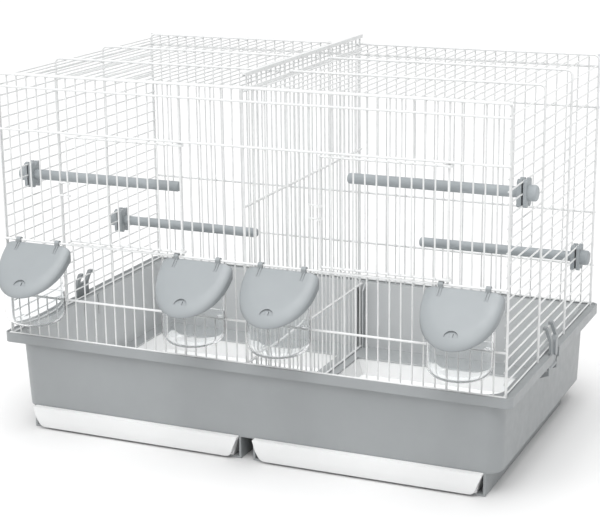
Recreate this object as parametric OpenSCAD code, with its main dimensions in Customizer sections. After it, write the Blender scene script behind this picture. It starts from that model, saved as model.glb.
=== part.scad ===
// Canary breeding cage: a welded wire top with a lift-out divider on a moulded tub
// with two litter drawers. X runs to the right, Y to the back, Z up.
// Heights of the wires are measured from the lowest wire, which lies on the tub's ledge.

/* [Wire body] */
// Width between the outermost front bars
wire_w = 564; // [540:12:612]
// Depth between the front bars and the back bars
wire_d = 340; // [320:2:370]
// Height from the lowest wire to the top wire
wire_h = 287; // [281:1:310]
// Wanted spacing of the thin bars
bar_pitch = 12; // [11.5:0.1:12.5]
// Diameter of the thin bars
bar_d = 1.8; // [1.6:0.1:2]
// Diameter of the frame wires
frame_d = 2.6; // [2.4:0.1:2.8]
// Depth that two crossing wires sink into each other at a weld
weld = 0.4; // [0.3:0.05:0.5]
// Radius of the bend between a side and the roof
bend_r = 6; // [5:0.5:12]
// Height of the rail behind the cups
feeder_rail_z = 45.5; // [42:0.5:48]
// Height of the rail under the doors
sill_z = 107.6; // [105:0.2:112]
// Distance from the top wire down to the rail over the doors
lintel_drop = 59; // [47:1:77]
// Distance from the top wire down to the rail below it
upper_rail_drop = 13.2; // [11:0.2:25]
// Place of the front middle hoop, from the middle of the depth
front_hoop_y = -54; // [-70:1:-40]
// Place of the rear middle hoop, from the middle of the depth
rear_hoop_y = 50; // [40:1:53]
// Gap between the folded shell and the front and back panels
shell_gap = 0.2; // [0.1:0.05:0.4]
// Bars cut away behind each feeder
fed_bars = 4; // [2:2:4]

/* [Doors] */
// Bar gaps between the two posts of a doorway
door_gaps = 12; // [11:1:12]
// Bar gaps from the right end bar to the right doorway
door_from_right = 5; // [5:1:6]
// Bar gaps from the left end bar to the left doorway
door_from_left = 6; // [5:1:6]
// Gap between a door leaf and the rail below it
leaf_gap = 2.3; // [2.1:0.1:3]
// Gap between a door leaf and the rail above it
leaf_top_gap = 1; // [0.7:0.1:2]
// Clearance round a post or a bar in a bent wire eye
eye_clear = 0.25; // [0.2:0.05:0.3]
// Height of the lower leg of a latch
latch_z = 161.4; // [150:0.2:180]
// Distance between the legs of a latch
latch_h = 13.6; // [11:0.2:18]
// Thickness of the latch wire
latch_d = 1.8; // [1.6:0.1:2]

/* [Divider] */
// Distance from the middle of the depth to a divider edge bar
divider_half = 159.5; // [150:0.5:160.5]
// Height of the divider's bars over the top wire
divider_rise = 10; // [8:0.5:18]
// Height of the divider's rail at the rim
divider_low_rail = -3; // [-6:0.5:0]
// Distance from the top wire down to the divider's middle rail
divider_mid_drop = 123.5; // [107:0.5:147]
// Distance from the top wire down to the divider's upper rail
divider_rail_drop = 5.5; // [3:0.5:17]
// Width of the strip on top of the divider
strip_w = 4.2; // [3.8:0.1:5]
// Height of the strip on top of the divider
strip_h = 4; // [3:0.5:7]
// Clearance between the divider's bars and the strip
strip_clear = 0.1; // [0.05:0.05:0.2]
// Length of the strip behind the divider's rear edge bar
strip_tail = 6; // [2:0.5:7]
// Clearance under the divider
divider_clear = 0.3; // [0.2:0.05:0.5]
// Clearance between the divider and the ribs that guide it
guide_clear = 0.4; // [0.3:0.05:0.6]
// Thickness of a guide rib
guide_t = 2; // [1.5:0.1:3]
// Length of a guide rib over the divider's edge
guide_over = 3; // [2:0.25:5]

/* [Tub] */
// Height of the tub
tub_h = 110; // [105:1:130]
// Width of the rim beside the outermost bars
rim_side = 8; // [7:0.5:10]
// Width of the rim in front of the front bars
rim_front = 5; // [5:0.25:8]
// Height of the band that hangs from the rim
band_h = 10.5; // [9:0.5:14]
// Height of the lip round the ledge
lip_h = 1.5; // [1:0.25:3]
// Width of the lip
lip_w = 1.6; // [1.2:0.1:1.7]
// Radius of the rim's corners
rim_r = 8; // [5:0.5:9]
// Thickness of the tub's walls
tub_t = 2.5; // [2:0.1:3]
// Distance from the rim's edge to the wall at the sides
inset_side = 12.5; // [11:0.5:13]
// Distance from the rim's edge to the wall at the front and back
inset_front = 7.5; // [7:0.25:9]
// Amount that each side wall leans in towards the bottom
draft_side = 2.5; // [1:0.25:4]
// Amount that the front and back walls lean in towards the bottom
draft_front = 4; // [2:0.25:4.5]
// Radius of the wall's corners
wall_r = 20; // [15:1:24]
// Height of the drawer bays
bay_h = 24; // [20:0.5:28]
// Distance from the middle to a bay's outer face
bay_out = 262; // [250:1:262]
// Gap between the two bays
bay_gap = 14; // [12:0.5:20]
// Place of the bays' rear face, from the middle of the depth
bay_rear_y = 128; // [110:1:140]
// Thickness of a bay's bottom
bay_floor_t = 2; // [1.6:0.1:2.5]
// Width of the tub's floor over each edge of a tray
ledge_over = 3; // [2.5:0.25:6]

/* [Drawers] */
// Clearance at each side of a tray
tray_side_clear = 0.8; // [0.5:0.1:1.5]
// Clearance under and above a tray
tray_clear = 0.4; // [0.3:0.05:0.8]
// Thickness of a tray's walls
tray_t = 1.8; // [1.5:0.1:2.2]
// Amount that each side of a tray leans in towards the bottom
tray_draft = 6; // [3:0.5:8]
// Height of a drawer front over its bay's top
front_rise = 1.4; // [0.5:0.1:2.2]
// Thickness of a drawer front at its crease
front_t = 8; // [7:0.25:10]
// Thickness of a drawer front at its lower edge
front_low_t = 5.6; // [4.5:0.1:6.5]
// Thickness of a drawer front at its upper edge
front_top_t = 6.4; // [5:0.1:7]
// Radius of a drawer front's upper corners
front_top_r = 1; // [0.5:0.25:2]
// Radius of a drawer front's lower corners
front_r = 8; // [5:0.5:9]
// Distance that a drawer front narrows at each lower corner
front_taper = 6; // [3:0.5:8]
// Distance from a bay's outer face to the drawer front's end
front_end = 2; // [1:0.5:4]
// Thickness of a drawer front's shell
front_shell = 2; // [1.6:0.1:2.4]

/* [Feeders] */
// Bar gaps from the middle to the inner feeders
feeder_inner = 4; // [4:1:6]
// Bar gaps from the outermost bar to the outer feeders
feeder_outer = 3.5; // [3.5:1:5.5]
// Half width of a hood
hood_half = 40.5; // [39:0.25:41.5]
// Distance from the rail to the front of a hood
hood_reach = 48.7; // [47.5:0.1:52]
// Height of a hood's top edge under the sill rail
hood_drop = 2.1; // [1.5:0.1:2.6]
// Height of a hood's skirt at the wires
skirt_back = 15.5; // [13:0.5:18]
// Height of a hood's skirt at the front
skirt_front = 7; // [6:0.25:9]
// Fall of a hood's top from the wires to the front
hood_fall = 41.5; // [39:0.5:44]
// Radius of a hood's upper edge
hood_edge_r = 5; // [4:0.25:6]
// Height that a hood's top swells
hood_crown = 0.8; // [0.4:0.1:1]
// Distance from a hood's side to where its top has swelled
crown_in = 15; // [10:0.5:20]
// Thickness of a hood
hood_t = 2; // [1.8:0.1:2.2]
// Gap between a feeder's back and the rails
feeder_gap = 0.3; // [0.2:0.05:0.5]
// Distance of a hook from the middle of a feeder
hook_x = 24; // [23.5:0.25:24.5]
// Width of a hook
hook_w = 5; // [4:0.25:6]
// Thickness of a hook
hook_t = 1.5; // [1.2:0.1:1.5]
// Width of the two ribs that run down from a hook
rib_w = 1.2; // [1:0.1:1.6]
// Height of a rib over the hood's top
rib_h = 0.8; // [0.5:0.1:1.2]
// Length of a rib down the hood's top
rib_len = 11; // [8:0.5:14]
// Width of a hood's finger recess
recess_w = 16; // [12:0.5:18]
// Distance from the recess to the hood's front edge, down the top
recess_in = 7.8; // [7:0.1:10]
// Depth of the recess under the highest part of the top
recess_deep = 1.3; // [1.1:0.1:1.4]
// Width of the tongue in the recess
tongue_w = 3.2; // [2.5:0.1:4]
// Outer radius of a cup
cup_r = 32.5; // [31:0.25:33]
// Distance from the rail to the middle of a cup
cup_mid = 12.7; // [11:0.1:13.5]
// Thickness of a cup
cup_t = 1.6; // [1.3:0.1:2]
// Height of a cup's bottom
cup_bottom_z = 21.5; // [14:0.5:24]
// Height of a cup's back wall
cup_back_z = 56; // [52:0.5:60]
// Outer radius of a cup's lower edge
cup_edge_r = 13; // [8:0.5:14]
// Height that a cup can be lifted under its hood
cup_lift = 4; // [4:0.1:4.5]
// Gap between a lifted cup and its hood
cup_gap = 0.9; // [0.6:0.1:1.5]
// Length of a cup hook behind the rail
cup_hook_h = 3.8; // [3.4:0.1:3.9]

/* [Perches] */
// Place of the front left perch, from the middle of the depth
perch_1_y = -115.5; // [-130:0.5:-90]
// Side wire that carries the front left perch, counted up from the lowest
perch_1_row = 14; // [8:1:20]
// Place of the rear left perch, from the middle of the depth
perch_2_y = 74; // [70:0.5:130]
// Side wire that carries the rear left perch
perch_2_row = 6; // [5:1:20]
// Place of the front right perch, from the middle of the depth
perch_3_y = -114; // [-130:0.5:-90]
// Side wire that carries the front right perch
perch_3_row = 16; // [8:1:20]
// Place of the rear right perch, from the middle of the depth
perch_4_y = 105; // [70:0.5:130]
// Side wire that carries the rear right perch
perch_4_row = 6; // [5:1:20]
// Length of a perch from the side wires to its tip
perch_len = 184; // [120:1:240]
// Diameter of a perch
perch_d = 11; // [10:0.5:14]
// Radius of a perch's tip
perch_tip_r = 2.5; // [1:0.25:4]
// Diameter of a perch's forked end
fork_d = 8; // [7:0.25:9]
// Clearance round a perch's forked end
fork_clear = 0.15; // [0.1:0.05:0.3]
// Gap of a perch's fork round a wire, on each side
slot_clear = 0.3; // [0.2:0.05:0.5]
// Height of the horned plates that grip a side wire
plate_h = 28; // [26:0.5:30]
// Width of the horned plates
plate_w = 18; // [16:0.5:20]
// Distance between the horned plates' cut corners, through the middle
plate_over = 30; // [28:0.5:31]
// Thickness of a flange
flange_t = 4.6; // [4:0.1:6]
// Thickness of a knob's plate
plate_t = 3.5; // [2.5:0.1:4]
// Width of the notch between two horns
notch_w = 9; // [7:0.5:11]
// Depth of the notch between two horns
notch_deep = 5; // [4:0.25:6]
// Diameter of a knob
knob_d = 16; // [14:0.5:18]
// Length of a knob with its plate
knob_len = 12.4; // [11:0.2:15]
// Radius of a knob's outer edge
knob_r = 2.5; // [1.5:0.25:3.5]
// Thickness of a knob's end
knob_end = 2; // [1.6:0.1:3]
// Gap between a wire and the pieces clamped on it
clamp_gap = 0.05; // [0.02:0.01:0.1]

/* [Side clips] */
// Place of the clips, from the middle of the depth
clip_y = -12.8; // [-25:0.2:-8]
// Width of a clip
clip_w = 27; // [22:0.5:30]
// Thickness of a clip
clip_t = 2.8; // [2.4:0.1:3.2]
// Distance from a clip's outer face in to the rim's edge
clip_set = 1.4; // [1:0.1:2]
// Distance from a clip's pin in to the rim's edge
clip_pin_in = 5.5; // [5:0.25:6.5]
// Distance from the rim down to a clip's pin
clip_pin_z = 18; // [17:0.5:22]
// Diameter of a clip's pin
pin_d = 3; // [2.5:0.1:3.5]
// Clearance of a clip on its pin
pin_clear = 0.1; // [0.05:0.01:0.1]
// Clearance of a pin in its lugs
lug_clear = 0.05; // [0.03:0.01:0.08]
// Thickness of a lug
lug_t = 2.5; // [2:0.1:3.5]
// Gap between a clip and what it passes
clip_gap = 0.7; // [0.4:0.1:1]
// Side wire that a clip reaches over, counted up from the lowest
clip_row = 2; // [2:1:4]
// Width of a clip's prong
prong_w = 5.4; // [4:0.2:7]
// Gap between a prong and the wire under it
prong_clear = 0.45; // [0.3:0.05:0.6]
// Reach of a prong past the wire
prong_over = 0.6; // [0.4:0.1:1.2]
// Height of a clip's bend over the lowest wire
knee_z = 12; // [9:0.5:14]
// Height of a clip's notch over the lowest wire
notch_z = 15; // [13.5:0.5:20]
// Width of a clip's thumb pad
pad_w = 9; // [8:0.5:10]
// Height of a thumb pad's straight part
pad_h = 10; // [8:0.5:11]
// Height of a thumb pad's middle over the lowest wire
pad_z = 5; // [3:0.5:6]
// Thickness of a thumb pad
pad_t = 2.2; // [1.6:0.1:3]

/* [Hidden] */
wire_sides = 8;      // the drawn wires are octagons
round_fn = 64;       // round pieces
shell_fn = 36;       // moulded shells
edge_steps = 3;      // steps of a hood's rounded upper edge
recess_sides = 10;   // sides of a finger recess's arc
skin = 0.01;         // thickness of a hull's guide layer
over = 1;            // reach of a cut past the face that it opens
wire_white = [0.95, 0.95, 0.94];
tub_grey = [0.62, 0.65, 0.66];
hood_grey = [0.72, 0.74, 0.75];
perch_grey = [0.5, 0.53, 0.55];
tray_white = [0.96, 0.96, 0.95];
clear_blue = [0.85, 0.92, 0.95, 0.45];

// tub levels
ledge_z = tub_h - lip_h;
base_z = ledge_z + frame_d / 2;
floor_z = bay_h + bay_floor_t;
rim_w = wire_w + 2 * rim_side;
rim_d = wire_d + 2 * rim_front;
wall_w = rim_w - 2 * inset_side;
wall_d = rim_d - 2 * inset_front;
wall_front = wall_d / 2 - draft_front;
bay_in = bay_gap / 2;
bay_mid = (bay_in + bay_out) / 2;
bay_w = bay_out - bay_in;

// wire grid
half_bars = floor(wire_w / bar_pitch / 2) + 1;
pitch_x = wire_w / (2 * half_bars - 1);
rows = round(wire_h / bar_pitch);
pitch_z = wire_h / rows;
panel_y = wire_d / 2;
cross = (bar_d + frame_d) / 2 - weld;
rail_y = panel_y + cross;
hoop_x = wire_w / 2;
hoop_y = panel_y - (bar_d + frame_d) / 2 - shell_gap;
shell_x = hoop_x - cross;
wire_tail = frame_d / 2;
lintel_z = wire_h - lintel_drop;
rail_heights = [0, feeder_rail_z, sill_z, lintel_z, wire_h - upper_rail_drop, wire_h];

// doors
right_first = half_bars - 1 - door_from_right - door_gaps;
left_first = door_from_left - half_bars;
eye_r = frame_d / 2 + eye_clear;
leaf_rail_y = panel_y + eye_r + frame_d / 2;
leaf_bar_y = leaf_rail_y + cross;
leaf_low = sill_z + wire_tail + leaf_gap;
leaf_high = lintel_z - wire_tail - leaf_top_gap;
latch_eye_r = bar_d / 2 + eye_clear;
latch_reach = pitch_x;
latch_y = panel_y + frame_d / 2 + eye_clear + latch_d / 2;

// divider
divider_base = floor_z + divider_clear;
divider_top = wire_h + divider_rise;
divider_mid_rail = wire_h - divider_mid_drop;
divider_high_rail = wire_h - divider_rail_drop;
divider_gaps = round(2 * divider_half / bar_pitch);
divider_step = 2 * divider_half / divider_gaps;
guide_x = cross + frame_d / 2 + guide_clear;
guide_y = divider_half - guide_over;

// feeders
outer_feeder = half_bars - 0.5 - feeder_outer;
feeder_places = [-outer_feeder, -feeder_inner, feeder_inner, outer_feeder];
feeder_back = frame_d / 2 + feeder_gap;
hood_top_slope = hood_fall / (hood_reach - feeder_back);
hood_low_slope = (hood_fall - skirt_back + skirt_front) / (hood_reach - feeder_back);
hood_top_angle = atan(hood_top_slope);
hood_top_t = hood_t / cos(hood_top_angle);
hood_top_len = (hood_reach - feeder_back) / cos(hood_top_angle);
hook_r = frame_d / 2 + eye_clear;
cup_rim_z = sill_z - hood_drop - hood_top_t - hood_crown - cup_lift - cup_gap;
cup_hook_over = frame_d / 2 + feeder_gap;

// clips
clip_out = rim_w / 2 - clip_set;
clip_in = clip_out - clip_t;
clip_pin_x = rim_w / 2 - clip_pin_in;
clip_pin_h = tub_h - clip_pin_z;
clip_room = clip_w + 2 * clip_gap;
clip_eye_r = pin_d / 2 + pin_clear;

// the frame's origin is under the middle of the whole cage, hoods included
front_reach = rail_y + hood_reach;
mid_y = (front_reach - rim_d / 2) / 2;

// perches: side, place along the depth, side wire that carries it
perches = [[-1, perch_1_y, perch_1_row], [-1, perch_2_y, perch_2_row],
    [1, perch_3_y, perch_3_row], [1, perch_4_y, perch_4_row]];

$fn = round_fn;

// ---- helpers ----

// moves a piece from the middle of the wire body to the frame of the whole cage
module place(level = 0) translate([0, mid_y, level]) children();

module wire_x(d, x0, x1)
    translate([x0, 0, 0]) rotate([0, 90, 0]) cylinder(d = d, h = x1 - x0, $fn = wire_sides);

module wire_y(d, y0, y1)
    translate([0, y0, 0]) rotate([-90, 0, 0]) cylinder(d = d, h = y1 - y0, $fn = wire_sides);

module wire_z(d, z0, z1)
    translate([0, 0, z0]) cylinder(d = d, h = z1 - z0, $fn = wire_sides);

// a centred rectangle with round corners
module round_rect(w, d, r) {
    square([w - 2 * r, d], center = true);
    square([w, d - 2 * r], center = true);
    for (x = [-1, 1], y = [-1, 1])
        translate([x * (w / 2 - r), y * (d / 2 - r)]) circle(r = r);
}

// place across the cage of bar number j, counted from the middle gap
function bar_x(j) = (j + 0.5) * pitch_x;

// ---- wire panels ----

function in_door(j, first) = j > first && j < first + door_gaps;
function is_doorway(j) = in_door(j, right_first) || in_door(j, left_first);
function is_fed(j) = len([for (f = feeder_places) if (abs(j + 0.5 - f) < fed_bars / 2) f]) > 0;
function is_post(j) = j == right_first + door_gaps || j == left_first + door_gaps;

// ends of a front bar's pieces: it is cut away at a feeder's access hole and at a doorway
function bar_ends(j) = concat(
    [-wire_tail],
    is_fed(j) ? [feeder_rail_z + wire_tail, sill_z - wire_tail] : [],
    is_doorway(j) ? [sill_z + wire_tail, lintel_z - wire_tail] : [],
    [wire_h + wire_tail]);

module rails()
    for (z = rail_heights) translate([0, 0, z]) wire_x(frame_d, -hoop_x - wire_tail, hoop_x + wire_tail);

module front_panel()
    color(wire_white) place(base_z) {
        for (j = [-half_bars:half_bars - 1])
            let (ends = bar_ends(j))
                for (n = [0:2:len(ends) - 1])
                    translate([bar_x(j), -panel_y, 0])
                        wire_z(is_post(j) ? frame_d : bar_d, ends[n], ends[n + 1]);
        translate([0, -rail_y, 0]) rails();
    }

module back_panel()
    color(wire_white) place(base_z) {
        for (j = [-half_bars:half_bars - 1])
            translate([bar_x(j), panel_y, 0]) wire_z(bar_d, -wire_tail, wire_h + wire_tail);
        translate([0, rail_y, 0]) rails();
    }

hoop_places = [-hoop_y, front_hoop_y, rear_hoop_y, hoop_y];
shell_tail = hoop_y + frame_d / 2;

// one side of the folded shell: level wires inside four hoop legs
module side_grille(side)
    color(wire_white) place(base_z) {
        for (k = [0:rows - 1])
            translate([side * shell_x, 0, k * pitch_z]) wire_y(bar_d, -shell_tail, shell_tail);
        for (y = hoop_places)
            translate([side * hoop_x, y, 0]) wire_z(frame_d, -wire_tail, wire_h - bend_r);
    }

// the bend of a hoop between its leg and the roof
module hoop_bend()
    translate([hoop_x - bend_r, 0, wire_h - bend_r]) rotate([90, 0, 0])
        rotate_extrude(angle = 90) translate([bend_r, 0]) circle(d = frame_d, $fn = wire_sides);

// the roof of the folded shell: the middle hoops stop at the divider's slot
module roof_grille()
    color(wire_white) place(base_z) {
        for (j = [-half_bars:half_bars - 1])
            if (abs(bar_x(j)) < hoop_x - bend_r + skin)
                translate([bar_x(j), 0, wire_h - cross]) wire_y(bar_d, -shell_tail, shell_tail);
        for (y = hoop_places, side = [0, 180])
            translate([0, y, 0]) rotate([0, 0, side]) {
                translate([0, 0, wire_h])
                    wire_x(frame_d, abs(y) < hoop_y ? bar_x(0) : -skin, hoop_x - bend_r);
                hoop_bend();
            }
    }

// ---- divider ----

module divider_grille()
    color(wire_white) place() {
        for (n = [0:divider_gaps])
            translate([0, -divider_half + n * divider_step, 0])
                wire_z(n == 0 || n == divider_gaps ? frame_d : bar_d,
                    divider_base, base_z + (n == 0 ? divider_high_rail + wire_tail : divider_top));
        for (z = [divider_base + frame_d / 2, base_z + divider_low_rail,
                base_z + divider_mid_rail, base_z + divider_high_rail])
            translate([cross, 0, z])
                wire_y(frame_d, -divider_half - wire_tail, divider_half + wire_tail);
    }

// folded strip on the ends of the divider's bars
module divider_top_strip()
    color(wire_white) place(base_z + divider_top)
        difference() {
            translate([-strip_w / 2, -divider_half + divider_step - strip_tail, -strip_h + strip_w / 2])
                cube([strip_w, 2 * divider_half - divider_step + 2 * strip_tail, strip_h]);
            translate([-frame_d / 2 - strip_clear, -panel_y, -strip_h - over])
                cube([frame_d + 2 * strip_clear, 2 * panel_y, strip_h + over + strip_clear]);
        }

// ---- doors ----

// an eye bent round an upright wire
module eye(r, d)
    translate([0, 0, -d / 2])
        difference() {
            cylinder(r = r + d, h = d);
            translate([0, 0, -over]) cylinder(r = r, h = d + 2 * over);
        }

// a door leaf, drawn from its hinge post: it reaches to the left of the post
module door_leaf(first) {
    leaf_w = (door_gaps - 1) * pitch_x;
    color(wire_white) place(base_z) translate([bar_x(first + door_gaps), 0, 0]) {
        for (n = [1:door_gaps - 1])
            translate([-n * pitch_x, -leaf_bar_y, 0]) wire_z(bar_d, leaf_low, leaf_high);
        for (z = [leaf_low + wire_tail, leaf_high - wire_tail]) {
            translate([0, -leaf_rail_y, z]) wire_x(frame_d, -leaf_w - bar_d / 2, 0);
            translate([0, -panel_y, z]) eye(eye_r, frame_d);
        }
    }
}

// a latch, drawn from the leaf's free edge bar: it reaches to the left, past the post
module latch(first) {
    run = leaf_bar_y - latch_y;
    turn = atan2(run, latch_reach);
    len_x = sqrt(latch_reach * latch_reach + run * run);
    color(wire_white) place(base_z + latch_z) translate([bar_x(first + 1), -leaf_bar_y, 0])
        rotate([0, 0, -turn]) {
            for (z = [0, latch_h]) translate([0, 0, z]) {
                eye(latch_eye_r, latch_d);
                wire_x(latch_d, -len_x, -latch_eye_r - latch_d / 2);
            }
            translate([-len_x, 0, 0]) wire_z(latch_d, -latch_d / 2, latch_h + latch_d / 2);
        }
}

module door_left() door_leaf(left_first);
module door_right() door_leaf(right_first);
module door_latch_left() latch(left_first);
module door_latch_right() latch(right_first);

// ---- feeders ----

module at_feeder(n) place(base_z) translate([feeder_places[n] * pitch_x, -rail_y, 0]) children();

// outline of a hood from above, drawn in by inset, up to the line back_y
module hood_plan(inset, back_y) {
    front_mid = hood_half - hood_reach;
    intersection() {
        union() {
            translate([0, front_mid]) circle(r = hood_half - inset, $fn = shell_fn);
            translate([inset - hood_half, front_mid])
                square([2 * (hood_half - inset), -front_mid + back_y]);
        }
        translate([-hood_half, -hood_reach]) square([2 * hood_half, hood_reach + back_y]);
    }
}

// the outline as a thin layer that falls to the front, at height z on the hood's back line
module hood_layer(inset, slope, z, back_y)
    multmatrix([[1, 0, 0, 0], [0, 1, 0, 0], [0, slope, 1, z + slope * feeder_back], [0, 0, 0, 1]])
        linear_extrude(skin) hood_plan(inset, back_y);

// a hood's form with a rounded upper edge, drawn in by t on the outside and top_t on top
module hood_form(t, top_t, deeper, back_y)
    hull() {
        hood_layer(t, hood_low_slope, -hood_drop - skirt_back - deeper, back_y);
        for (a = [0:90 / edge_steps:90])
            hood_layer(t + (hood_edge_r - t) * (1 - cos(a)), hood_top_slope,
                -hood_drop - top_t - hood_crown - (hood_edge_r - t) * (1 - sin(a)), back_y);
        hood_layer(crown_in, hood_top_slope, -hood_drop - top_t, back_y);
    }

// half ring that hangs on the sill rail, with its foot and two ribs on the hood's top
module hood_hook()
    translate([-hook_w / 2, 0, 0]) {
        difference() {
            rotate([0, 90, 0]) cylinder(r = hook_r + hook_t, h = hook_w);
            rotate([0, 90, 0]) translate([0, 0, -over]) cylinder(r = hook_r, h = hook_w + 2 * over);
            translate([-over, 0, -2 * hook_r - hook_t])
                cube([hook_w + 2 * over, 2 * hook_r + hook_t, 2 * hook_r + hook_t]);
        }
        translate([0, -hook_r - hook_t, -hood_drop - hood_top_t - hood_crown])
            cube([hook_w, hook_t, hood_drop + hood_top_t + hood_crown]);
        for (x = [rib_w / 2, hook_w - 3 * rib_w / 2])
            on_hood_top() translate([x, -rib_len, -rib_h]) cube([rib_w, rib_len - hook_t, 2 * rib_h]);
    }

// moves a piece to the line where a hood's top starts, turned to lie along the top
module on_hood_top()
    translate([0, -feeder_back, -hood_drop]) rotate([hood_top_angle, 0, 0]) children();

// half-moon recess for a finger near the hood's front edge, with a tongue in its middle
module finger_recess()
    on_hood_top() translate([0, recess_in - hood_top_len, -recess_deep])
        linear_extrude(recess_deep + over) difference() {
            polygon([for (a = [0:180 / recess_sides:180]) recess_w / 2 * [cos(a), sin(a)]]);
            translate([-tongue_w / 2, -over]) square([tongue_w, recess_w / 4 + over]);
        }

module hood(n)
    color(hood_grey) at_feeder(n) translate([0, 0, sill_z]) {
        difference() {
            hood_form(0, 0, 0, -feeder_back);
            hood_form(hood_t, hood_top_t, 2 * skirt_back, over);
            finger_recess();
        }
        for (side = [-1, 1]) translate([side * hook_x, 0, 0]) hood_hook();
    }

// half section of a cup: straight wall and a round lower edge
module cup_section(r, z0, edge_r) {
    cup_high = sill_z - z0;
    translate([0, z0]) square([r - edge_r, cup_high]);
    translate([0, z0 + edge_r]) square([r, cup_high - edge_r]);
    translate([r - edge_r, z0 + edge_r]) circle(r = edge_r);
}

// a cup's body: round in front, flat at its back line
module cup_form(t)
    intersection() {
        translate([0, -cup_mid, 0]) rotate_extrude()
            intersection() {
                cup_section(cup_r - t, cup_bottom_z + t, cup_edge_r - t);
                square([cup_r, sill_z]);
            }
        translate([-cup_r, -2 * cup_r - cup_mid, 0])
            cube([2 * cup_r, 2 * cup_r + cup_mid - feeder_back - t, sill_z]);
    }

module cup_hook()
    translate([-hook_w / 2, -feeder_back - cup_t / 2, feeder_rail_z]) {
        translate([0, 0, cup_hook_over])
            cube([hook_w, feeder_back + cup_t / 2 + cup_hook_over + hook_t, hook_t]);
        translate([0, feeder_back + cup_t / 2 + cup_hook_over, cup_hook_over - cup_hook_h])
            cube([hook_w, hook_t, cup_hook_h]);
    }

module cup(n)
    color(clear_blue) at_feeder(n) {
        difference() {
            cup_form(0);
            cup_form(cup_t);
            translate([-cup_r - over, -feeder_back, cup_rim_z]) rotate([hood_top_angle, 0, 0])
                translate([0, -3 * cup_r, 0]) cube([2 * cup_r + 2 * over, 4 * cup_r, 2 * cup_r]);
            translate([-cup_r, -feeder_back - 2 * cup_t, cup_back_z])
                cube([2 * cup_r, 2 * cup_t + over, sill_z]);
        }
        for (side = [-1, 1]) translate([side * hook_x, 0, 0]) cup_hook();
    }

module feeder_hood_1() hood(0);
module feeder_hood_2() hood(1);
module feeder_hood_3() hood(2);
module feeder_hood_4() hood(3);
module feeder_cup_1() cup(0);
module feeder_cup_2() cup(1);
module feeder_cup_3() cup(2);
module feeder_cup_4() cup(3);

// ---- perches ----

clamp_x = bar_d / 2 + clamp_gap;

// a perch is drawn along X from the side wire that carries it
module at_perch(n)
    place(base_z) translate([perches[n][0] * shell_x, perches[n][1], perches[n][2] * pitch_z])
        rotate([0, 0, perches[n][0] < 0 ? 0 : 180]) rotate([0, 90, 0]) children();

module perch_rod(n)
    color(perch_grey) at_perch(n)
        difference() {
            union() {
                translate([0, 0, clamp_x + flange_t])
                    rotate_extrude() {
                        shaft = perch_len - clamp_x - flange_t;
                        square([perch_d / 2, shaft - perch_tip_r]);
                        square([perch_d / 2 - perch_tip_r, shaft]);
                        intersection() {
                            translate([perch_d / 2 - perch_tip_r, shaft - perch_tip_r])
                                circle(r = perch_tip_r);
                            square([perch_d, shaft]);
                        }
                    }
                translate([0, 0, -clamp_x - knob_len + knob_end + fork_clear])
                    cylinder(d = fork_d, h = 2 * clamp_x + flange_t + knob_len - knob_end);
            }
            translate([-bar_d / 2 - slot_clear, -fork_d, -clamp_x - knob_len])
                cube([bar_d + 2 * slot_clear, 2 * fork_d, 2 * clamp_x + knob_len + slot_clear]);
        }

// plate with two horns above and two below, which bears on the side wires
module horned_plate(t)
    linear_extrude(t) difference() {
        intersection() {
            square([plate_h, plate_w], center = true);
            circle(d = plate_over);
        }
        for (s = [-1, 1])
            polygon([[s * (plate_h / 2 - notch_deep), 0], [s * (plate_h / 2 + over), -notch_w / 2],
                [s * (plate_h / 2 + over), notch_w / 2]]);
    }

module perch_flange(n)
    color(perch_grey) at_perch(n) translate([0, 0, clamp_x])
        difference() {
            horned_plate(flange_t);
            translate([0, 0, -over]) cylinder(d = fork_d + 2 * fork_clear, h = flange_t + 2 * over);
        }

module perch_knob(n)
    color(perch_grey) at_perch(n) translate([0, 0, -clamp_x - knob_len])
        difference() {
            union() {
                rotate_extrude() {
                    translate([0, knob_r]) square([knob_d / 2, knob_len - knob_r]);
                    square([knob_d / 2 - knob_r, knob_len]);
                    intersection() {
                        translate([knob_d / 2 - knob_r, knob_r]) circle(r = knob_r);
                        square([knob_d, knob_len]);
                    }
                }
                translate([0, 0, knob_len - plate_t]) horned_plate(plate_t);
            }
            translate([0, 0, knob_end]) cylinder(d = fork_d + 2 * fork_clear, h = knob_len);
        }

module perch_rod_1() perch_rod(0);
module perch_rod_2() perch_rod(1);
module perch_rod_3() perch_rod(2);
module perch_rod_4() perch_rod(3);
module perch_flange_1() perch_flange(0);
module perch_flange_2() perch_flange(1);
module perch_flange_3() perch_flange(2);
module perch_flange_4() perch_flange(3);
module perch_knob_1() perch_knob(0);
module perch_knob_2() perch_knob(1);
module perch_knob_3() perch_knob(2);
module perch_knob_4() perch_knob(3);

// ---- side clips ----

// the clip's profile seen from the front: an arm that leans out from its pin, stands in the
// rim's notch and leans in to the wires
module clip_profile() {
    wire_top = base_z + clip_row * pitch_z + bar_d / 2 + prong_clear;
    tip_in = shell_x - bar_d / 2 - prong_over;
    wire_out = shell_x + bar_d / 2 + clip_gap;
    knee = base_z + knee_z;
    polygon([[clip_pin_x - clip_t / 2, clip_pin_h], [clip_pin_x + clip_t / 2, clip_pin_h],
        [clip_out, ledge_z - tub_t], [clip_out, knee + clip_t / 2],
        [wire_out + clip_t, wire_top], [wire_out + clip_t / 2, wire_top + clip_t],
        [tip_in, wire_top + clip_t], [tip_in, wire_top], [wire_out, wire_top],
        [wire_out, wire_top - clip_t], [clip_in, knee], [clip_in, ledge_z - tub_t]]);
}

// oval thumb pad on the arm
module thumb_pad()
    translate([clip_out - clip_t / 2, 0, base_z + pad_z]) rotate([0, 90, 0])
        linear_extrude(clip_t / 2 + pad_t) {
            square([pad_h, pad_w], center = true);
            for (s = [-1, 1]) translate([s * pad_h / 2, 0]) circle(d = pad_w);
        }

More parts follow.
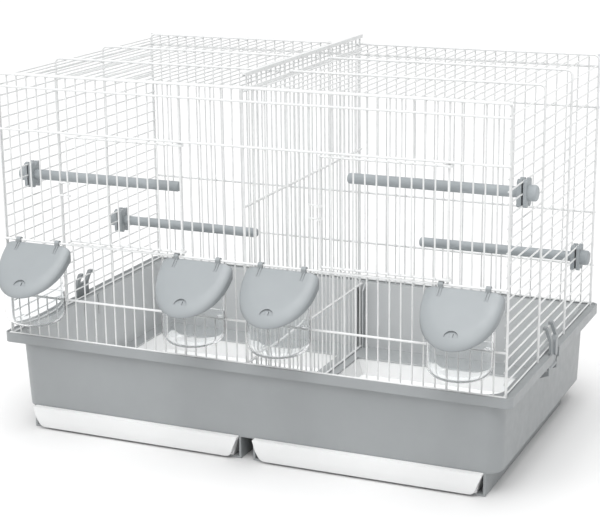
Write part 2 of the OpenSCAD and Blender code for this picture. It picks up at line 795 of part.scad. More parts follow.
module side_clip(side)
    color(hood_grey) place() rotate([0, 0, side > 0 ? 0 : 180])
        translate([0, side * clip_y, 0]) {
            difference() {
                union() {
                    rotate([90, 0, 0]) linear_extrude(clip_w, center = true) clip_profile();
                    translate([clip_pin_x, 0, clip_pin_h]) rotate([90, 0, 0])
                        cylinder(r = clip_eye_r + clip_t / 2, h = clip_w, center = true);
                }
                translate([clip_pin_x, 0, clip_pin_h]) rotate([90, 0, 0])
                    cylinder(r = clip_eye_r, h = clip_w + 2 * over, center = true);
                prong_gap = clip_w - 2 * prong_w;
                translate([shell_x - 2 * clip_t, -prong_gap / 2, base_z + notch_z])
                    cube([rim_side + 4 * clip_t, prong_gap, clip_row * pitch_z]);
            }
            thumb_pad();
        }

module clip_pin(side)
    color(hood_grey) place() translate([side * clip_pin_x, clip_y, clip_pin_h]) rotate([90, 0, 0])
        cylinder(d = pin_d, h = clip_room + 2 * lug_t, center = true);

module side_clip_left() side_clip(-1);
module side_clip_right() side_clip(1);
module clip_pin_left() clip_pin(-1);
module clip_pin_right() clip_pin(1);

// ---- drawers ----

front_h = bay_h + front_rise - bay_floor_t - tray_clear;

// outline of a drawer front, narrower at its round lower corners
module front_outline(inset) {
    half_top = (bay_w - 2 * front_end) / 2 - inset;
    half_low = half_top - front_taper;
    hull() {
        for (side = [-1, 1]) {
            translate([side * (half_low - front_r + inset), front_r])
                circle(r = front_r - inset, $fn = shell_fn);
            translate([side * (half_top - front_top_r), front_h - inset - front_top_r])
                circle(r = front_top_r, $fn = shell_fn);
        }
    }
}

// section of a drawer front, with a crease at half height; its inner side is a finger grip
module front_section(inset) {
    polygon([[0, inset], [front_low_t - inset, inset], [front_t - inset, front_h / 2],
        [front_top_t - inset, front_h - inset], [0, front_h - inset]]);
}

module drawer_front(inset)
    intersection() {
        rotate([90, 0, 0]) linear_extrude(front_t) front_outline(inset);
        rotate([90, 0, -90]) linear_extrude(bay_w, center = true) front_section(inset);
    }

// section across a tray from the height low to high, narrower towards the bottom
module tray_section(width, low, high) {
    lean = tray_draft / bay_h;
    polygon([[-width / 2 + lean * (bay_h - low), low], [width / 2 - lean * (bay_h - low), low],
        [width / 2 - lean * (bay_h - high), high], [-width / 2 + lean * (bay_h - high), high]]);
}

module drawer(side)
    color(tray_white) place() translate([side * bay_mid, 0, bay_floor_t + tray_clear]) {
        tray_w = bay_w - 2 * tub_t - 2 * tray_side_clear;
        tray_h = bay_h - bay_floor_t - 2 * tray_clear;
        tray_front = -wall_front - tray_clear;
        tray_len = bay_rear_y - tub_t - tray_side_clear - tray_front;
        translate([0, tray_front + tray_len, 0]) rotate([90, 0, 0]) difference() {
            linear_extrude(tray_len) tray_section(tray_w, 0, tray_h);
            translate([0, 0, tray_t])
                linear_extrude(tray_len - 2 * tray_t)
                    tray_section(tray_w - 2 * tray_t, tray_t, tray_h + over);
        }
        difference() {
            translate([0, tray_front + skin, 0]) drawer_front(0);
            translate([0, tray_front, -front_shell - over]) drawer_front(front_shell);
        }
    }

module drawer_left() drawer(-1);
module drawer_right() drawer(1);

// ---- tub ----

// the wall's form, drawn in by inset, from the height low to the ledge
module wall_form(inset, low, high)
    hull() {
        translate([0, 0, low]) linear_extrude(skin)
            round_rect(wall_w - 2 * draft_side - 2 * inset, wall_d - 2 * draft_front - 2 * inset,
                wall_r - inset, $fn = shell_fn);
        translate([0, 0, high]) linear_extrude(skin)
            round_rect(wall_w - 2 * inset, wall_d - 2 * inset, wall_r - inset, $fn = shell_fn);
    }

module rim_ring(width, low, high)
    translate([0, 0, low]) linear_extrude(high - low)
        difference() {
            round_rect(rim_w, rim_d, rim_r);
            round_rect(rim_w - 2 * width, rim_d - 2 * width, rim_r - width);
        }

// a pair of ribs that guide a divider edge, on the front or the back wall
module divider_guides()
    for (side = [-1, 1])
        translate([side * (guide_x + guide_t / 2), 0, 0])
            rotate([90, 0, 90]) linear_extrude(guide_t, center = true)
                polygon([[guide_y, bay_h + skin], [wall_front - tub_t / 2, bay_h + skin],
                    [wall_d / 2 - tub_t / 2, ledge_z - tub_t / 2], [guide_y, ledge_z - band_h]]);

// two lugs under the rim that carry a clip's pin
module clip_lugs()
    for (s = [-1, 1])
        translate([0, clip_y + s * (clip_room + lug_t) / 2, 0])
            rotate([90, 0, 0]) linear_extrude(lug_t, center = true) {
                wall_in = wall_w / 2 - draft_side - tub_t / 2;
                lug_out = clip_pin_x + clip_eye_r + clip_t / 2;
                band_mid = rim_w / 2 - tub_t / 2;
                difference() {
                    polygon([[wall_in, clip_pin_h - band_h], [wall_in, ledge_z - tub_t / 2],
                        [band_mid, ledge_z - tub_t / 2], [band_mid, tub_h - band_h],
                        [lug_out, clip_pin_h + band_h / 2], [lug_out, clip_pin_h - band_h / 2]]);
                    translate([clip_pin_x, clip_pin_h]) circle(d = pin_d + 2 * lug_clear);
                }
            }

// notch in the rim that a clip's arm stands in
module clip_notch()
    translate([clip_in - clip_gap, clip_y - clip_room / 2, tub_h - band_h - over])
        cube([rim_w, clip_room, band_h + 2 * over]);

module tub()
    color(tub_grey) place() {
        difference() {
            union() {
                translate([0, 0, ledge_z - tub_t]) linear_extrude(tub_t) round_rect(rim_w, rim_d, rim_r);
                rim_ring(lip_w, ledge_z - tub_t, tub_h);
                rim_ring(tub_t, tub_h - band_h, ledge_z);
                wall_form(0, bay_h, ledge_z - tub_t / 2);
                for (side = [-1, 1])
                    translate([side * bay_mid, (bay_rear_y - wall_front) / 2, 0])
                        linear_extrude(bay_h + bay_floor_t / 2)
                            square([bay_w, bay_rear_y + wall_front], center = true);
            }
            wall_form(tub_t, floor_z, tub_h);
            for (side = [-1, 1]) translate([side * bay_mid, 0, 0]) {
                bay_in_w = bay_w - 2 * tub_t;
                translate([-bay_in_w / 2, -wall_front - over, bay_floor_t])
                    cube([bay_in_w, wall_front + over + bay_rear_y - tub_t, bay_h - bay_floor_t]);
                translate([-bay_in_w / 2 + ledge_over, -wall_front + tub_t + ledge_over, bay_floor_t])
                    cube([bay_in_w - 2 * ledge_over,
                        wall_front + bay_rear_y - 2 * tub_t - 2 * ledge_over, bay_h]);
            }
            clip_notch();
            mirror([1, 0, 0]) clip_notch();
        }
        for (side = [0, 180]) rotate([0, 0, side]) divider_guides();
        clip_lugs();
        mirror([1, 0, 0]) clip_lugs();
    }

tub();
drawer_left();
drawer_right();
front_panel();
back_panel();
side_grille(-1);  // left_side_grille
side_grille(1);  // right_side_grille
roof_grille();
divider_grille();
divider_top_strip();
door_left();
door_right();
door_latch_left();
door_latch_right();
feeder_hood_1();
feeder_hood_2();
feeder_hood_3();
feeder_hood_4();
feeder_cup_1();
feeder_cup_2();
feeder_cup_3();
feeder_cup_4();
perch_rod_1();
perch_rod_2();
perch_rod_3();
perch_rod_4();
perch_flange_1();
perch_flange_2();
perch_flange_3();
perch_flange_4();
perch_knob_1();
perch_knob_2();
perch_knob_3();
perch_knob_4();
side_clip_left();
side_clip_right();
clip_pin_left();
clip_pin_right();
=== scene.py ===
"""Looks of the bird breeding cage: camera, materials, finer feeder hoods and a soft studio.

Every CAD node keeps its place and gets a procedural material and smooth shading. Only the four feeder hoods
are replaced, each by a cap of the same size with a rounder edge and rounder hooks.
Lengths are in metres. Those of the hood section are in mm, and MM turns them into metres.
"""

import math

import bmesh
import bpy
from mathutils import Matrix, Vector


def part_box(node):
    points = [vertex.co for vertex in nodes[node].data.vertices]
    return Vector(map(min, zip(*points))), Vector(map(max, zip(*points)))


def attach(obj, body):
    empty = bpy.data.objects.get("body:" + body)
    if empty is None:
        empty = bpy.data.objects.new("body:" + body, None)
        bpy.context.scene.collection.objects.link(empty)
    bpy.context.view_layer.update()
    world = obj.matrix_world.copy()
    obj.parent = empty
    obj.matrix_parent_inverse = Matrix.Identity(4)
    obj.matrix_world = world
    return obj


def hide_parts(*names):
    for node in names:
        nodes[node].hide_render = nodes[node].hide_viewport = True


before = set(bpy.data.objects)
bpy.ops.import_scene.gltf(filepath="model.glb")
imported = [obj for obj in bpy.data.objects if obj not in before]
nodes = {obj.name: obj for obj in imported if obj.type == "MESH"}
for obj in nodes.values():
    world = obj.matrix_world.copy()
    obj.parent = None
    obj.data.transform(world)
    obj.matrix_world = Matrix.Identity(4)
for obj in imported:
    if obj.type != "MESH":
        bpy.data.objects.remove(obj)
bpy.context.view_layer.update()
MM = 0.001


# ---- camera, at the photograph's viewing angle ----

YAW, PITCH, ROLL = 0.41656, 0.26701, -0.01147
CAMERA_AT = Vector((0.69936, -1.57782, 0.65171))
FOCAL_PX, FRAME_W = 1619.18, 600
SENSOR_W = 36
CLIP_NEAR, CLIP_FAR = 0.05, 60


def add_camera():
    """The pinhole camera that was fitted to the photograph's wire grid."""
    forward = Vector((-math.sin(YAW) * math.cos(PITCH),
                      math.cos(YAW) * math.cos(PITCH),
                      -math.sin(PITCH)))
    right = Vector((math.cos(YAW), math.sin(YAW), 0))
    up = right.cross(forward)
    x = math.cos(ROLL) * right + math.sin(ROLL) * up
    y = -math.sin(ROLL) * right + math.cos(ROLL) * up
    data = bpy.data.cameras.new("camera")
    data.sensor_fit = "HORIZONTAL"
    data.sensor_width = SENSOR_W
    data.lens = FOCAL_PX / FRAME_W * SENSOR_W
    data.clip_start, data.clip_end = CLIP_NEAR, CLIP_FAR
    camera = bpy.data.objects.new("camera", data)
    turn = Matrix((x, y, -forward)).transposed().to_4x4()
    camera.matrix_world = Matrix.Translation(CAMERA_AT) @ turn
    bpy.context.collection.objects.link(camera)
    bpy.context.scene.camera = camera


# ---- shader building blocks ----

MIX_FACTOR, MIX_FIRST, MIX_SECOND, MIX_RESULT = 0, 6, 7, 2     # a Mix node's sockets, set to colour
NOISE_ROUGH = 0.55
NOISE_SPAN = (0.3, 0.7)             # most of a noise lies between these


def new_material(name):
    mat = bpy.data.materials.new(name)
    mat.use_nodes = True
    return mat, mat.node_tree, mat.node_tree.nodes["Principled BSDF"]


def add_node(tree, kind, values=None, links=None, **settings):
    """A shader node with its settings, the values on its sockets and the outputs linked to its sockets."""
    made = tree.nodes.new("ShaderNode" + kind)
    for name, value in settings.items():
        setattr(made, name, value)
    for socket, value in (values or {}).items():
        made.inputs[socket].default_value = value
    for socket, source in (links or {}).items():
        tree.links.new(source, made.inputs[socket])
    return made


def object_coords(tree):
    return add_node(tree, "TexCoord").outputs["Object"]


def surface_normal(tree):
    return add_node(tree, "NewGeometry").outputs["Normal"]


def z_of(tree, vector):
    return add_node(tree, "SeparateXYZ", links={0: vector}).outputs["Z"]


def dot(tree, a, b):
    return add_node(tree, "VectorMath", links={0: a, 1: b}, operation="DOT_PRODUCT").outputs["Value"]


def noise(tree, coords, scale, detail):
    """Noise of about 0 to 1 over the coordinates, which are in metres."""
    values = {"Scale": scale, "Detail": detail, "Roughness": NOISE_ROUGH}
    return add_node(tree, "TexNoise", values, {"Vector": coords}).outputs["Fac"]


def ranged(tree, value, to, source=NOISE_SPAN):
    """The value mapped from the source range to another one, and held at its ends."""
    ends = {"From Min": source[0], "From Max": source[1], "To Min": to[0], "To Max": to[1]}
    return add_node(tree, "MapRange", ends, {"Value": value}).outputs["Result"]


def mixed(tree, factor, first, second):
    """A colour between the two, each given as a colour or as a node's output."""
    mix = add_node(tree, "Mix", links={MIX_FACTOR: factor}, data_type="RGBA")
    for socket, color in ((MIX_FIRST, first), (MIX_SECOND, second)):
        if isinstance(color, tuple):
            mix.inputs[socket].default_value = (*color, 1)
        else:
            tree.links.new(color, mix.inputs[socket])
    return mix.outputs[MIX_RESULT]


def bumped(tree, height, strength, distance, normal=None):
    """The surface's normal after a bump, on top of another normal where one is given."""
    links = {"Height": height, "Normal": normal} if normal else {"Height": height}
    values = {"Strength": strength, "Distance": distance}
    return add_node(tree, "Bump", values, links).outputs["Normal"]


def tone(color, factor):
    return tuple(min(1, c * factor) for c in color)


# ---- materials ----

WIRE_DARK, WIRE_LIGHT = (0.68, 0.69, 0.69), (0.76, 0.77, 0.77)
STEEL_DARK, STEEL_LIGHT = (0.55, 0.56, 0.57), (0.7, 0.7, 0.7)
CLEAR_DARK, CLEAR_LIGHT = (0.965, 0.975, 0.98), (0.99, 0.995, 0.995)
TUB = (0.285, 0.3, 0.307)
# painted light: a lighter, lit copy of the tub's colour for its inner walls and floor, where more light
# falls
TUB_LIT_INSIDE = (0.55, 0.565, 0.572)
HOOD = (0.283, 0.305, 0.317)
CLIP = (0.26, 0.278, 0.288)
PERCH = (0.30, 0.325, 0.34)
WHITE = (0.72, 0.727, 0.727)
# painted light: a lighter, lit copy of the white for the drawers' inner floors and walls
WHITE_LIT_INSIDE = (0.93, 0.935, 0.935)

# where the painted light inside lies:
MID_Y = 0.02275                     # the tub's middle from front to back
INWARDS = (-0.06, -0.02)            # normal times distance from the middle: an inner wall, any other face
LOW_Z = (0.03, 0.034)               # level faces up to here are the floor
LEVEL = (0.5, 0.8)                  # upward part of the normal: a slope, a level face
SIDE_SHADE_SPAN = (0.02, 0.62)              # upward part of the normal: a side, the sloped top; the painted shade on the sides fades out over this span
EDGE_BEND = (0.8, 0.98)             # cosine between the rounded and the real normal: an edge, a plain face; the painted highlight lies on edges
# painted highlight: rounded edges are lightened by this factor
EDGE_HIGHLIGHT = 1.1
ROUGH_LESS, ROUGH_MORE = 0.05, 0.07 # how far the roughness wanders from its mean
CUP_IOR = 1.24                      # lower than the plastic's own, so that the thin wall stays clear


def faces_inwards(tree, at, floor_lit_share):
    """Mask of the painted light inside: 1 on walls that look towards the cage's middle, a share on the
    floor's level faces, else 0.
    """
    normal = surface_normal(tree)
    middle = {1: (1, 1, 0), 2: (0, -MID_Y, 0)}
    from_middle = add_node(tree, "VectorMath", middle, {0: at}, operation="MULTIPLY_ADD").outputs[0]
    wall = ranged(tree, dot(tree, normal, from_middle), (1, 0), INWARDS)
    low = ranged(tree, z_of(tree, at), (1, 0), LOW_Z)
    level = ranged(tree, z_of(tree, normal), (0, floor_lit_share), LEVEL)
    floor = add_node(tree, "Math", links={0: low, 1: level}, operation="MULTIPLY").outputs[0]
    return add_node(tree, "Math", links={0: wall, 1: floor}, operation="MAXIMUM").outputs[0]


def moulded(name, color, rough, grain, depth, mottle, edge, coat=0.0, lit_inside=None, floor_lit_share=1.0,
            side_shade=None):
    """Moulded plastic: faint cloudy tone, fine grain, uneven gloss and a painted highlight on rounded
    edges.

    depth of the grain and edge, the rounding's radius, are in mm. The inside colour is a lighter, lit copy
    of the colour, painted light on inner walls and floors; the side shade is painted shade that darkens the
    sides against the top.
    """
    mat, tree, bsdf = new_material(name)
    at = object_coords(tree)
    cloud = ranged(tree, noise(tree, at, scale=22, detail=5), (0, 1))
    base = mixed(tree, cloud, tone(color, 1 - mottle), tone(color, 1 + mottle))
    # painted light: inner walls and level floors take the lighter, lit inside colour
    if lit_inside:
        base = mixed(tree, faces_inwards(tree, at, floor_lit_share), base, lit_inside)
    # painted shade: faces whose own normal points sideways or down get a darker copy of the colour
    if side_shade:
        own_normal = add_node(tree, "TexCoord").outputs["Normal"]
        side = ranged(tree, z_of(tree, own_normal), (1, 0), SIDE_SHADE_SPAN)
        base = mixed(tree, side, base, tone(color, side_shade))
    # painted highlight: a lighter copy of the colour where the rounded normal bends away from the real one
    rounded = add_node(tree, "Bevel", {"Radius": edge * MM}, samples=4).outputs["Normal"]
    edge_highlight = ranged(tree, dot(tree, rounded, surface_normal(tree)), (1, 0), EDGE_BEND)
    base = mixed(tree, edge_highlight, base, tone(color, EDGE_HIGHLIGHT))
    gloss = ranged(tree, noise(tree, at, scale=90, detail=3), (rough - ROUGH_LESS, rough + ROUGH_MORE))
    grains = noise(tree, at, scale=grain, detail=2)
    fine = bumped(tree, grains, strength=0.5, distance=depth * MM, normal=rounded)
    tree.links.new(base, bsdf.inputs["Base Color"])
    tree.links.new(gloss, bsdf.inputs["Roughness"])
    tree.links.new(fine, bsdf.inputs["Normal"])
    bsdf.inputs["Coat Weight"].default_value = coat
    bsdf.inputs["Coat Roughness"].default_value = 0.2
    return mat


def coated_wire():
    """White dipped coating on steel wire: slightly uneven thickness and tone."""
    mat, tree, bsdf = new_material("coated_wire")
    at = object_coords(tree)
    cloud = ranged(tree, noise(tree, at, scale=60, detail=4), (0, 1))
    gloss = ranged(tree, noise(tree, at, scale=260, detail=3), (0.24, 0.42))
    lumps = bumped(tree, noise(tree, at, scale=420, detail=2), strength=0.35, distance=0.12 * MM)
    tree.links.new(mixed(tree, cloud, WIRE_DARK, WIRE_LIGHT), bsdf.inputs["Base Color"])
    tree.links.new(gloss, bsdf.inputs["Roughness"])
    tree.links.new(lumps, bsdf.inputs["Normal"])
    bsdf.inputs["Coat Weight"].default_value = 0.25
    bsdf.inputs["Coat Roughness"].default_value = 0.15
    return mat


def clear_plastic():
    """Clear moulded cup: a little haze and slow waves in its surface."""
    mat, tree, bsdf = new_material("clear_plastic")
    at = object_coords(tree)
    haze = ranged(tree, noise(tree, at, scale=45, detail=4), (0, 1))
    gloss = ranged(tree, noise(tree, at, scale=120, detail=3), (0.0, 0.05))
    waves = bumped(tree, noise(tree, at, scale=55, detail=2), strength=0.15, distance=0.25 * MM)
    tree.links.new(mixed(tree, haze, CLEAR_DARK, CLEAR_LIGHT), bsdf.inputs["Base Color"])
    tree.links.new(gloss, bsdf.inputs["Roughness"])
    tree.links.new(waves, bsdf.inputs["Normal"])
    bsdf.inputs["Transmission Weight"].default_value = 1.0
    bsdf.inputs["IOR"].default_value = CUP_IOR
    bsdf.inputs["Specular IOR Level"].default_value = 0.3
    return mat


def bright_wire():
    """Plain drawn steel of the clips' pins: uneven tone and gloss."""
    mat, tree, bsdf = new_material("bright_wire")
    at = object_coords(tree)
    cloud = ranged(tree, noise(tree, at, scale=200, detail=3), (0, 1))
    gloss = ranged(tree, noise(tree, at, scale=500, detail=3), (0.2, 0.4))
    tree.links.new(mixed(tree, cloud, STEEL_DARK, STEEL_LIGHT), bsdf.inputs["Base Color"])
    tree.links.new(gloss, bsdf.inputs["Roughness"])
    bsdf.inputs["Metallic"].default_value = 1.0
    return mat


def make_materials():
    """Every material of the cage, by the short key that MATERIAL_OF uses."""
    return {
        # the tub's and the drawers' inner faces get painted light
        "tub": moulded("tub_plastic", TUB, rough=0.42, grain=1400, depth=0.05, mottle=0.035, edge=0.9,
                       coat=0.1, lit_inside=TUB_LIT_INSIDE, floor_lit_share=0.27),
        # hood: painted shade on its sides, darker than its top
        "hood": moulded("hood_plastic", HOOD, rough=0.42, grain=900, depth=0.03, mottle=0.03, edge=0.7,
                        coat=0.12, side_shade=0.83),
        "clip": moulded("clip_plastic", CLIP, rough=0.4, grain=900, depth=0.03, mottle=0.04, edge=0.5,
                        coat=0.12),
        "perch": moulded("perch_plastic", PERCH, rough=0.5, grain=700, depth=0.35, mottle=0.14, edge=0.5),
        "white": moulded("white_plastic", WHITE, rough=0.35, grain=1100, depth=0.03, mottle=0.02, edge=0.8,
                         coat=0.2, lit_inside=WHITE_LIT_INSIDE),
        "wire": coated_wire(),
        "clear": clear_plastic(),
        "bright": bright_wire(),
    }


# ---- dress the CAD nodes ----

MATERIAL_OF = {                     # by how a node's name starts; all other nodes are coated wire
    "tub": "tub",
    "drawer": "white",
    "feeder_cup": "clear",
    "feeder_hood": "hood",
    "side_clip": "clip",
    "perch": "perch",
    "clip_pin": "bright",
}
WIRE_ANGLE, MOULDING_ANGLE = math.radians(50), math.radians(38)
MERGE_WITHIN = 0.002 * MM


def smoothing(angle):
    """Modifier group: merges the import's doubled points and shades smooth up to an angle."""
    group = bpy.data.node_groups.new("smooth_edges", "GeometryNodeTree")
    for way in ("INPUT", "OUTPUT"):
        group.interface.new_socket("Geometry", in_out=way, socket_type="NodeSocketGeometry")
    start, end = group.nodes.new("NodeGroupInput"), group.nodes.new("NodeGroupOutput")
    merge = group.nodes.new("GeometryNodeMergeByDistance")
    merge.inputs["Distance"].default_value = MERGE_WITHIN
    faces = group.nodes.new("GeometryNodeSetShadeSmooth")
    faces.domain = "FACE"
    edges = group.nodes.new("GeometryNodeSetShadeSmooth")
    edges.domain = "EDGE"
    bend = group.nodes.new("GeometryNodeInputMeshEdgeAngle")
    flat = group.nodes.new("FunctionNodeCompare")
    flat.operation = "LESS_THAN"
    flat.inputs[1].default_value = angle
    group.links.new(bend.outputs[0], flat.inputs[0])
    group.links.new(flat.outputs[0], edges.inputs["Shade Smooth"])
    for a, b in ((start, merge), (merge, faces), (faces, edges), (edges, end)):
        group.links.new(a.outputs[0], b.inputs[0])
    return group


def material_key(name):
    for start, key in MATERIAL_OF.items():
        if name.startswith(start):
            return key
    return "wire"


def dress(materials, round_wire, moulding):
    """Give each CAD node its material and its smooth shading."""
    for name, obj in nodes.items():
        key = material_key(name)
        obj.data.materials.clear()
        obj.data.materials.append(materials[key])
        obj.modifiers.new("smooth", "NODES").node_group = round_wire if key == "wire" else moulding


# ---- feeder hoods, in mm from the middle of the rail that a hood hangs on ----

HALF, REACH, BACK = 40.5, 48.7, 1.6         # half the width; from the rail to the front, to the back edge
TOP_Z, FALL = -2.1, 41.5                    # the top's back edge, and how far the top falls to the front
SKIRT_BACK, SKIRT_FRONT = 15.5, 7           # height of the wall round it
WALL = 2                                    # thickness
EDGE_W, EDGE_H = 11, 6                      # the rounded edge, seen from above and from the side
INNER_EDGE = 3                              # radius of the rounded edge inside
CROWN, CROWN_IN = 0.8, 20                   # the top curves down by this much, over this width
RING_IN, RING_OUT = 1.55, 3.05              # radii of the hooks' rings
HOOK_W, HOOK_X, HOOK_FOOT_Z = 5, 24, -4.4   # width; from the hood's middle; end of its foot in the top
RIB_W, RIB_X = 1.2, 1.3                     # two ribs in front of each hook, beside its middle
# a rib from the side: along the top from its back line, and out from it
RIB_PROFILE = ((-1, -0.9), (-11, -0.9), (-11, 0.1), (-10.2, 0.5), (-6, 0.75), (-1, 0.85))
RECESS_R, RECESS_AT = 7.2, -54.4            # half-moon for a finger; its straight side along the top
RECESS_DEPTH, RECESS_DROP = 1.35, 0.5       # depth at its straight side, and how much deeper its far end is
RECESS_ABOVE = 1                            # the cutter stands this far out of the top
TONGUE_HALF, TONGUE_LEN = 1.6, 4.6          # left standing in the half-moon
TOP_SLOPE = FALL / (REACH - BACK)
LOW_SLOPE = (FALL - SKIRT_BACK + SKIRT_FRONT) / (REACH - BACK)
TOP_ANGLE = math.atan(TOP_SLOPE)
FRONT_STEPS, SIDE_STEPS, EDGE_STEPS, TOP_STEPS = 56, 4, 10, 8
WELD_WITHIN = 0.001                         # points closer than this are one
HOODS = 4


def hood_outline(inset):
    """The hood from above, drawn in by inset: down one side, round the front and back up."""
    r, mid = HALF - inset, HALF - REACH
    side = [(-r, -BACK + (mid + BACK) * k / SIDE_STEPS) for k in range(SIDE_STEPS)]
    turns = [math.pi * (1 + k / FRONT_STEPS) for k in range(FRONT_STEPS + 1)]
    front = [(r * math.cos(a), mid + r * math.sin(a)) for a in turns]
    return side + front + [(-x, y) for x, y in reversed(side)]


def hood_rings(wall, depth, edge_w, edge_h):
    """Rings of one face of the cap, from the lower rim over the rounded edge to the middle of the top."""
    def swell(inset):
        return CROWN * max(0, 1 - inset / CROWN_IN) ** 2

    edge = []
    for k in range(EDGE_STEPS + 1):
        a = math.pi / 2 * k / EDGE_STEPS
        inset = wall + edge_w * (1 - math.cos(a))
        edge.append((inset, depth + swell(inset) + edge_h * (1 - math.sin(a))))
    last = edge[-1][0]
    top = [last + (HALF - last) * k / TOP_STEPS for k in range(1, TOP_STEPS + 1)]
    stations = edge + [(inset, depth + swell(inset)) for inset in top]
    rings = [[(x, y, TOP_Z + TOP_SLOPE * (y + BACK) - drop) for x, y in hood_outline(inset)]
             for inset, drop in stations]
    low = [(x, y, TOP_Z - SKIRT_BACK + LOW_SLOPE * (y + BACK)) for x, y in hood_outline(wall)]
    middle = [tuple((p + q) / 2 for p, q in zip(a, b)) for a, b in zip(low, rings[0])]
    return [low, middle] + rings


def add_points(bm, ring):
    return [bm.verts.new([c * MM for c in point]) for point in ring]


def new_object(name, bm):
    """The mesh as an object of the scene, with its faces turned outwards."""
    bmesh.ops.recalc_face_normals(bm, faces=bm.faces)
    mesh = bpy.data.meshes.new(name)
    bm.to_mesh(mesh)
    bm.free()
    obj = bpy.data.objects.new(name, mesh)
    bpy.context.collection.objects.link(obj)
    return obj


def hood_cap():
    """The open shell of a hood: outer and inner face, joined along the lower rim and the back edge."""
    bm = bmesh.new()
    outer = [add_points(bm, ring) for ring in hood_rings(0, 0, EDGE_W, EDGE_H)]
    inner_depth = WALL / math.cos(TOP_ANGLE)
    inner = [add_points(bm, ring) for ring in hood_rings(WALL, inner_depth, INNER_EDGE, INNER_EDGE)]
    columns = range(len(outer[0]) - 1)
    for face in (outer, inner):
        for a, b in zip(face, face[1:]):
            for j in columns:
                bm.faces.new((a[j], a[j + 1], b[j + 1], b[j]))
    for j in columns:
        bm.faces.new((outer[0][j], outer[0][j + 1], inner[0][j + 1], inner[0][j]))
    for k in range(len(outer) - 1):
        for j in (0, -1):
            bm.faces.new((outer[k][j], outer[k + 1][j], inner[k + 1][j], inner[k][j]))
    bmesh.ops.remove_doubles(bm, verts=bm.verts, dist=WELD_WITHIN * MM)
    return new_object("cap", bm)


def prism(name, low, high):
    """A closed solid between two outlines of equal length."""
    bm = bmesh.new()
    a, b = add_points(bm, low), add_points(bm, high)
    bm.faces.new(a)
    bm.faces.new(b)
    for i in range(len(a)):
        bm.faces.new((a[i - 1], a[i], b[i], b[i - 1]))
    return new_object(name, bm)


def on_top(x, along, out):
    """A point on the hood's top plane: x across, along up the slope from its back line, out from it."""
    return (x, -BACK + along * math.cos(TOP_ANGLE) - out * math.sin(TOP_ANGLE),
            TOP_Z + along * math.sin(TOP_ANGLE) + out * math.cos(TOP_ANGLE))


def arc(radius, start, end, steps=14):
    """Points of an arc about the middle, between two angles in degrees."""
    turns = [math.radians(start + (end - start) * k / steps) for k in range(steps + 1)]
    return [(radius * math.cos(a), radius * math.sin(a)) for a in turns]


def hook_parts(x):
    """A hook with its middle at x: the open ring round the rail with its foot, and two tapered ribs."""
    foot_in = math.degrees(math.acos(RING_IN / RING_OUT))
    ring = (arc(RING_OUT, 0, 180) + [(-RING_OUT, HOOK_FOOT_Z), (-RING_IN, HOOK_FOOT_Z)]
            + arc(RING_OUT, 180 + foot_in, 270, steps=6) + arc(RING_IN, 270, 0, steps=20))
    ends = [[(x + side * HOOK_W / 2, y, z) for y, z in ring] for side in (-1, 1)]
    parts = [prism("hook", *ends)]
    for middle in (x - RIB_X, x + RIB_X):
        sides = [[on_top(middle + side * RIB_W / 2, *at) for at in RIB_PROFILE] for side in (-1, 1)]
        parts.append(prism("rib", *sides))
    return parts


def recess_tool():
    """Half-moon pocket for a finger with a sloped floor, and a tongue left in its middle."""
    half, long = TONGUE_HALF, TONGUE_LEN
    tongue = [(-half, 0), (-half, long), (half, long), (half, 0)]
    outline = arc(RECESS_R, 0, 180, steps=28) + tongue
    floor = [on_top(x, RECESS_AT + along, -RECESS_DEPTH - RECESS_DROP * along / RECESS_R)
             for x, along in outline]
    return prism("recess", floor, [on_top(x, RECESS_AT + along, RECESS_ABOVE) for x, along in outline])


def hood_mesh():
    """The cap with its hooks joined on and its finger recess cut in."""
    cap = hood_cap()
    tools = [(part, "UNION") for x in (-HOOK_X, HOOK_X) for part in hook_parts(x)]
    tools.append((recess_tool(), "DIFFERENCE"))
    for part, kind in tools:
        cut = cap.modifiers.new(part.name, "BOOLEAN")
        cut.operation, cut.object, cut.solver = kind, part, "EXACT"
    whole = bpy.data.meshes.new_from_object(cap.evaluated_get(bpy.context.evaluated_depsgraph_get()))
    for part in [cap] + [part for part, _ in tools]:
        bpy.data.objects.remove(part)
    return whole


def add_hoods(material, moulding):
    """One cap in place of each hood's solid, on the rail that the solid's box gives."""
    whole = hood_mesh()
    whole.materials.clear()
    whole.materials.append(material)
    for n in range(1, HOODS + 1):
        low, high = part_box(f"feeder_hood_{n}")
        rail = ((low[0] + high[0]) / 2, low[1] + REACH * MM, high[2] - RING_OUT * MM)
        mesh = whole.copy()
        mesh.transform(Matrix.Translation(rail))
        hood = bpy.data.objects.new(f"hood_cap_{n}", mesh)
        bpy.context.collection.objects.link(hood)
        hood.modifiers.new("smooth", "NODES").node_group = moulding
        hood.modifiers.new("even", "WEIGHTED_NORMAL").keep_sharp = True
        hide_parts(f"feeder_hood_{n}")
        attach(hood, f"feeder_hood_{n}")


# ---- studio ----

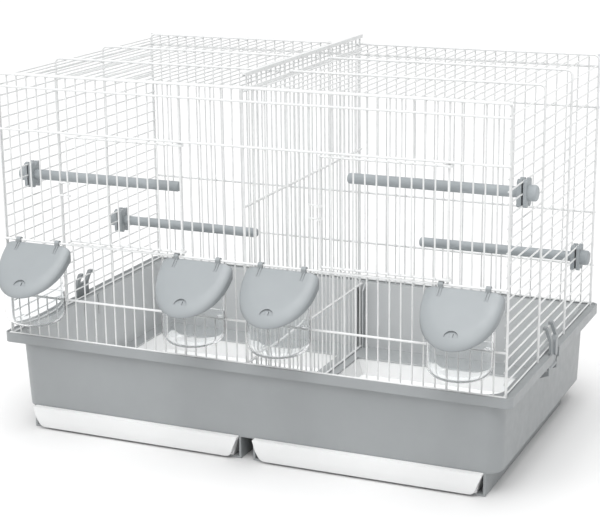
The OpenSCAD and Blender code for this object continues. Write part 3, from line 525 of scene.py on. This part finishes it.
SKY_STRENGTH = 0.8
SUNS = (                            # name, where it stands, strength, how wide it is in degrees
    ("sky_glow", (0.04, -0.55, 1.0), 1.25, 50),
    ("overhead", (0.0, -0.08, 1.0), 1.05, 40),
)
SOFTBOXES = (                       # name, place, side, power in watts
    ("softbox_left", (-2.0, -2.4, 1.6), 2.0, 12),
    ("softbox_right", (2.2, -2.4, 1.0), 1.2, 3),
)
SOFTBOX_AIM = (0, 0, 0.2)
FLOOR_REACH, FLOOR_DROP = 15, 0.2 * MM
FLOOR_DARK, FLOOR_LIGHT = (0.75, 0.75, 0.75), (0.77, 0.77, 0.77)
FLOOR_ROUGH = 0.7


def add_light(name, kind, power, towards):
    """A light that shines from the given direction, before it gets its place."""
    data = bpy.data.lights.new(name, kind)
    data.energy = power
    light = bpy.data.objects.new(name, data)
    light.rotation_euler = Vector(towards).to_track_quat("Z", "Y").to_euler()
    bpy.context.collection.objects.link(light)
    return light


def add_floor():
    """A wide pale floor, just under the cage."""
    mesh = bpy.data.meshes.new("floor")
    corners = [(x * FLOOR_REACH, y * FLOOR_REACH, 0) for x, y in ((-1, -1), (1, -1), (1, 1), (-1, 1))]
    mesh.from_pydata(corners, [], [(0, 1, 2, 3)])
    floor = bpy.data.objects.new("floor", mesh)
    floor.location.z = -FLOOR_DROP
    bpy.context.collection.objects.link(floor)
    mat, tree, bsdf = new_material("pale_floor")
    cloud = noise(tree, object_coords(tree), scale=3, detail=3)
    tree.links.new(mixed(tree, cloud, FLOOR_DARK, FLOOR_LIGHT), bsdf.inputs["Base Color"])
    bsdf.inputs["Roughness"].default_value = FLOOR_ROUGH
    mesh.materials.append(mat)


def add_studio():
    """A white sky, two wide suns, two soft boxes at the front and the floor."""
    scene = bpy.context.scene
    scene.view_settings.view_transform = "Standard"
    scene.view_settings.look = "None"
    scene.world = bpy.data.worlds.new("studio")
    scene.world.use_nodes = True
    sky = scene.world.node_tree.nodes["Background"]
    sky.inputs["Color"].default_value = (1.0, 1.0, 1.0, 1)
    sky.inputs["Strength"].default_value = SKY_STRENGTH
    for name, towards, power, spread in SUNS:
        add_light(name, "SUN", power, towards).data.angle = math.radians(spread)
    for name, at, side, power in SOFTBOXES:
        box = add_light(name, "AREA", power, Vector(at) - Vector(SOFTBOX_AIM))
        box.location = at
        box.data.size = side
    add_floor()


add_camera()
materials = make_materials()
round_wire = smoothing(WIRE_ANGLE)
moulding = smoothing(MOULDING_ANGLE)
dress(materials, round_wire, moulding)
add_hoods(materials["hood"], moulding)
add_studio()
